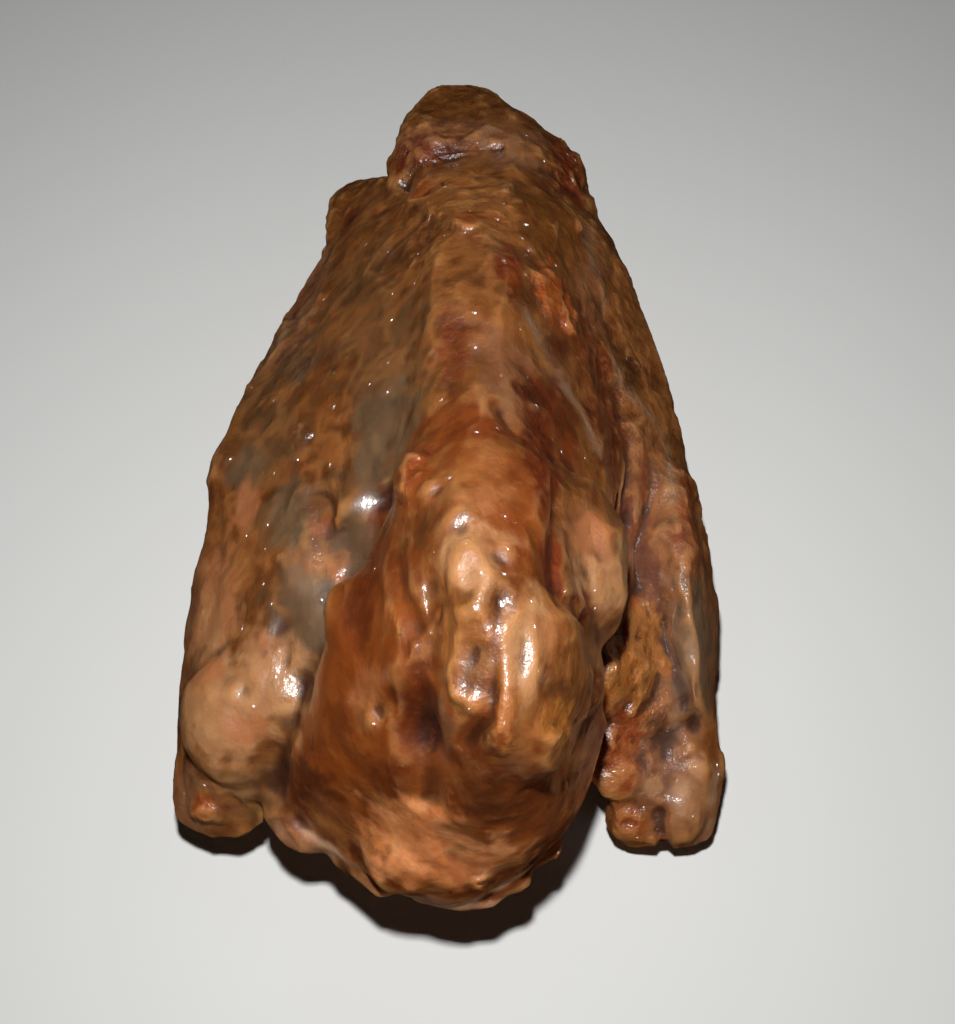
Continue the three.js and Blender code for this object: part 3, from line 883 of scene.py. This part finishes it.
# From the bare rock up, each colour is mixed in where its growth and its pattern both lie.
BARE_ROCK = "#8a511e"
colour = linear(BARE_ROCK)
for growth, pattern, low, high, strength, code in COLOURS:
    inputs = {"Value": fields[pattern], "From Min": low, "From Max": high, "To Max": strength}
    share = add(tree, "MapRange", inputs, interpolation_type="SMOOTHSTEP").outputs["Result"]
    share = add(tree, "Math", {0: edges[growth], 1: share}, operation="MULTIPLY").outputs[0]
    colour = add(tree, "Mix", {0: share, 6: colour, 7: linear(code)}, data_type="RGBA").outputs[2]

# The glassy skin ripples, most where the rock is rough. In the clear coat over it, round bumps of all sizes
# flash where they catch the light. The bumps lie BUMP_GAP apart and are up to BUMP in radius.
RIPPLE_SIZE = 1.3
RIPPLE_HEIGHT = 0.45
BUMP_GAP = 2.5
BUMP = 1.5
inputs = {"Vector": place, "Scale": 1 / (RIPPLE_SIZE * MM), "Detail": 4, "Roughness": 0.6}
height = add(tree, "TexNoise", inputs).outputs["Fac"]
strength = add(tree, "MapRange", {"Value": fields["rough"], "To Min": 0.2}).outputs["Result"]
inputs = {"Height": height, "Strength": strength, "Distance": RIPPLE_HEIGHT * MM}
ripples = add(tree, "Bump", inputs).outputs[0]
spot = add(tree, "TexVoronoi", {"Vector": place, "Scale": 1 / (BUMP_GAP * MM)})
chance = add(tree, "SeparateXYZ", {"Vector": spot.outputs["Color"]}).outputs[0]
inputs = {"Value": chance, "From Min": 0.3, "To Min": 0.1, "To Max": 1.0}
size = add(tree, "MapRange", inputs).outputs["Result"]
inputs = {0: spot.outputs["Distance"], 1: BUMP_GAP / BUMP}
reach = add(tree, "Math", inputs, operation="MULTIPLY").outputs[0]
reach = add(tree, "Math", {0: reach, 1: size}, operation="DIVIDE").outputs[0]
fall = add(tree, "Math", {0: reach, 1: 2.0}, operation="POWER").outputs[0]
left = add(tree, "Math", {0: 1.0, 1: fall}, operation="SUBTRACT").outputs[0]
left = add(tree, "Math", {0: left, 1: 0.25}, operation="MAXIMUM").outputs[0]
dome = add(tree, "Math", {0: left}, operation="SQRT").outputs[0]
dome = add(tree, "Math", {0: dome, 1: size}, operation="MULTIPLY").outputs[0]
inputs = {"Height": dome, "Strength": 1.0, "Distance": BUMP * MM, "Normal": ripples}
sparkle = add(tree, "Bump", inputs).outputs[0]

# Etched faces are duller and have less of the coat.
inputs = {"Value": fields["dull"], "To Min": 0.5, "To Max": 0.8}
sheen = add(tree, "MapRange", inputs).outputs["Result"]
inputs = {"Value": fields["dull"], "To Min": 1.0, "To Max": 0.15}
coat = add(tree, "MapRange", inputs).outputs["Result"]
QUARTZ_IOR = 1.544
LIGHT_DEPTH = 1.2
shader = add(
    tree,
    "BsdfPrincipled",
    {
        "Base Color": colour,
        "Roughness": sheen,
        "Specular IOR Level": 0.6,
        "IOR": QUARTZ_IOR,
        "Normal": ripples,
        "Subsurface Weight": 1.0,
        "Subsurface Radius": (1.0, 0.4, 0.2),
        "Subsurface Scale": LIGHT_DEPTH * MM,
        "Coat Weight": coat,
        "Coat Roughness": 0.2,
        "Coat IOR": QUARTZ_IOR,
        "Coat Normal": sparkle,
    },
)
add(tree, "OutputMaterial", {"Surface": shader.outputs[0]})

stone.data.materials.clear()
stone.data.materials.append(finish)
stone.data.shade_smooth()

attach(stone, "root")
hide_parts(STONE)

# ---------------------------------------------------------------------------------------------------------
# The floor, the lights and the camera
# A sheet of pale paper that the stone lies on, lit by one small soft lamp and a dim room. The camera looks
# down at the stone's blunt end from close by, with the lamp just beside it.
# ---------------------------------------------------------------------------------------------------------

# Uncoated paper: pale, and matt enough to show no reflection.
paper = bpy.data.materials.new("pale matt paper")
paper.use_nodes = True
paper_shader = paper.node_tree.nodes["Principled BSDF"]
paper_shader.inputs["Base Color"].default_value = (0.8, 0.8, 0.78, 1)
paper_shader.inputs["Roughness"].default_value = 0.9

# The floor reaches a metre each way from the stone. It is left out of the stone's mirror reflections, which
# stay dark.
FLOOR_REACH = 1000
floor_shape = bmesh.new()
bmesh.ops.create_grid(floor_shape, x_segments=1, y_segments=1, size=FLOOR_REACH * MM)
floor = new_piece("floor", floor_shape)
floor.data.materials.append(paper)
floor.visible_glossy = False

# The camera's tilt is in degrees from straight down.
CAMERA_PLACE = (2.4, -56.4, 139.1)
CAMERA_TILT = 22
LENS = 52.7
camera = bpy.data.objects.new("camera", bpy.data.cameras.new("camera"))
camera.data.lens = LENS
camera.data.clip_start = 0.01
camera.location = [value * MM for value in CAMERA_PLACE]
camera.rotation_euler = (math.radians(CAMERA_TILT), 0, 0)
bpy.context.collection.objects.link(camera)
bpy.context.scene.camera = camera

# The lamp is a small square, so its glints are small and sharp.
LAMP_PLACE = (-1, -30, 150)
LAMP_AIM = (0, -40, 0)
LAMP_SIZE = 6.0
LAMP_POWER = 0.205
light = bpy.data.lights.new("key", "AREA")
light.size = LAMP_SIZE * MM
light.energy = LAMP_POWER
lamp = bpy.data.objects.new("key", light)
lamp.location = [value * MM for value in LAMP_PLACE]
aim = Vector([value * MM for value in LAMP_AIM])
lamp.rotation_euler = (aim - lamp.location).to_track_quat("-Z", "Y").to_euler()
bpy.context.collection.objects.link(lamp)

ROOM_LIGHT = 0.007
world = bpy.data.worlds.new("studio")
world.use_nodes = True
room = world.node_tree.nodes["Background"]
room.inputs["Color"].default_value = (0.6, 0.6, 0.62, 1)
room.inputs["Strength"].default_value = ROOM_LIGHT
bpy.context.scene.world = world

bpy.context.scene.view_settings.view_transform = "Standard"
